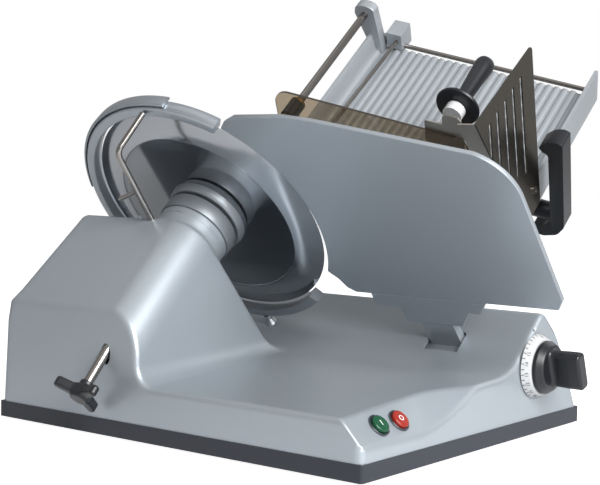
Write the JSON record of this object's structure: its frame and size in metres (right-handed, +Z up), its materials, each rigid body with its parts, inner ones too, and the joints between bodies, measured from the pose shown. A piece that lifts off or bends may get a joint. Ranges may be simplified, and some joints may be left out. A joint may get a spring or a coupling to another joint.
{
  "type": "gravity feed slicer",
  "caption": "Inclined food slicer with round blade, guard ring, sliding ribbed product table, thickness gauge with dial, push buttons and hollow cast base.",
  "frame": {"origin": "centre of the base's footprint, on the plane of the feet", "axes": "+X along the carriage travel, towards its rest end; +Y towards the product side, -Y the side where slices fall; +Z up"},
  "size_m": [0.653, 0.5871, 0.5408],
  "materials": {
    "cast_housing": "satin anodised casting",
    "dark_plinth": "dark slate coat",
    "rubber": "moulded rubber",
    "zinc_screws": "zinc plated",
    "hub_metal": "turned",
    "polished_blade": "ground and polished steel",
    "cover_plate": "brushed",
    "ring_metal": "polished casting",
    "bright_rod": "polished rod",
    "machined_steel": "machined",
    "motor_case": "dark paint",
    "bronze_bush": "sintered bronze",
    "gauge_face": "satin plate",
    "table_metal": "satin ribbed casting",
    "stainless": "polished stainless sheet",
    "black_plastic": "moulded",
    "white_dial": "moulded white",
    "bezel": "bright ring",
    "green_button": "moulded",
    "red_button": "moulded",
    "tinted_sheet": "tinted clear sheet"
  },
  "bodies": {
    "root": {"plinth": "dark_plinth", "bottom_cover": "dark_plinth", "rubber_feet": "rubber", "cover_screws": "zinc_screws", "housing": "cast_housing", "neck_cap": "hub_metal", "hub_seal": "rubber", "spindle_housing": "machined_steel", "shaft_bearings": "machined_steel", "motor": "motor_case", "motor_mount": "machined_steel", "drive_belt": "rubber", "guard_ring": "ring_metal", "guard_cap": "cast_housing", "guard_supports": "ring_metal", "blade_cover": "cover_plate", "cover_tie_rod": "zinc_screws", "deflector_rod": "bright_rod", "clamp_nut": "machined_steel", "carriage_rail": "machined_steel", "rail_brackets": "machined_steel", "guide_rail": "machined_steel", "gauge_guide_bars": "machined_steel", "dial_bush": "bronze_bush", "button_bezels": "bezel", "switch_blocks": "black_plastic"},
    "blade": {"blade": "polished_blade", "blade_hub": "hub_metal", "blade_screws": "zinc_screws", "blade_shaft": "machined_steel", "blade_pulley": "machined_steel"},
    "motor_rotor": {"motor_shaft": "machined_steel", "motor_pulley": "machined_steel"},
    "gauge": {"gauge_plate": "gauge_face", "gauge_bracket": "gauge_face", "gauge_slide": "machined_steel"},
    "dial": {"dial_knob": "black_plastic", "dial_scale": "white_dial", "dial_spindle": "machined_steel", "cam_disc": "machined_steel"},
    "clamp": {"clamp_rod": "bright_rod", "clamp_knob": "black_plastic"},
    "start_key": {"start_button": "green_button"},
    "stop_key": {"stop_button": "red_button"},
    "carriage": {"carriage_table": "table_metal", "end_wall": "table_metal", "carriage_rods": "bright_rod", "carriage_arm": "table_metal", "carriage_foot": "machined_steel", "carriage_bushes": "bronze_bush", "slotted_guard": "stainless", "carriage_handle": "black_plastic", "set_screws": "zinc_screws"},
    "fence": {"fence_block": "table_metal", "fence_rod": "bright_rod"},
    "holder_carrier": {"holder_bush": "bronze_bush"},
    "holder": {"holder_sleeve": "black_plastic", "holder_plate": "tinted_sheet", "holder_bracket": "machined_steel", "holder_grip": "black_plastic"}
  },
  "joints": [
    {"name": "blade_spin", "type": "hinge", "parent": "root", "child": "blade", "pos_m": [-0.121, -0.0245, 0.2595], "axis": [0, -0.753, -0.658], "continuous": true},
    {"name": "motor_spin", "type": "hinge", "parent": "root", "child": "motor_rotor", "pos_m": [-0.196, -0.12758, 0.1495], "axis": [0, -0.753, -0.658], "continuous": true},
    {"name": "gauge_slide", "type": "slide", "parent": "root", "child": "gauge", "axis": [0, -0.753, -0.658], "range_m": [0, 0.015]},
    {"name": "dial_turn", "type": "hinge", "parent": "root", "child": "dial", "pos_m": [0.2735, 0.1255, 0.085], "axis": [1, 0, 0], "range_deg": [0, 300]},
    {"name": "clamp_turn", "type": "hinge", "parent": "root", "child": "clamp", "pos_m": [-0.095, -0.2365, 0.099], "axis": [0, -0.6561, -0.7547], "range_deg": [0, 360]},
    {"name": "start_press", "type": "slide", "parent": "root", "child": "start_key", "axis": [-0.7071, 0, -0.7071], "range_m": [0, 0.003], "stiffness_N_per_m": 400, "springref_m": -0.001},
    {"name": "stop_press", "type": "slide", "parent": "root", "child": "stop_key", "axis": [-0.7071, 0, -0.7071], "range_m": [0, 0.003], "stiffness_N_per_m": 400, "springref_m": -0.001},
    {"name": "carriage_travel", "type": "slide", "parent": "root", "child": "carriage", "axis": [-1, 0, 0], "range_m": [0, 0.3]},
    {"name": "fence_slide", "type": "slide", "parent": "carriage", "child": "fence", "axis": [0.9521, 0.2012, -0.2302], "range_m": [0, 0.2]},
    {"name": "holder_slide", "type": "slide", "parent": "carriage", "child": "holder_carrier", "axis": [0, -0.753, -0.658], "range_m": [-0.15, 0.07]},
    {"name": "holder_swing", "type": "hinge", "parent": "holder_carrier", "child": "holder", "pos_m": [-0.00556, -0.01552, 0.37992], "axis": [0, -0.753, -0.658], "range_deg": [0, 100]}
  ],
  "couplings": [
    {"joint": "motor_spin", "follows": "blade_spin", "ratio": 2.5714},
    {"joint": "dial_turn", "follows": "gauge_slide", "rad_per_m": 349.06}
  ]
}
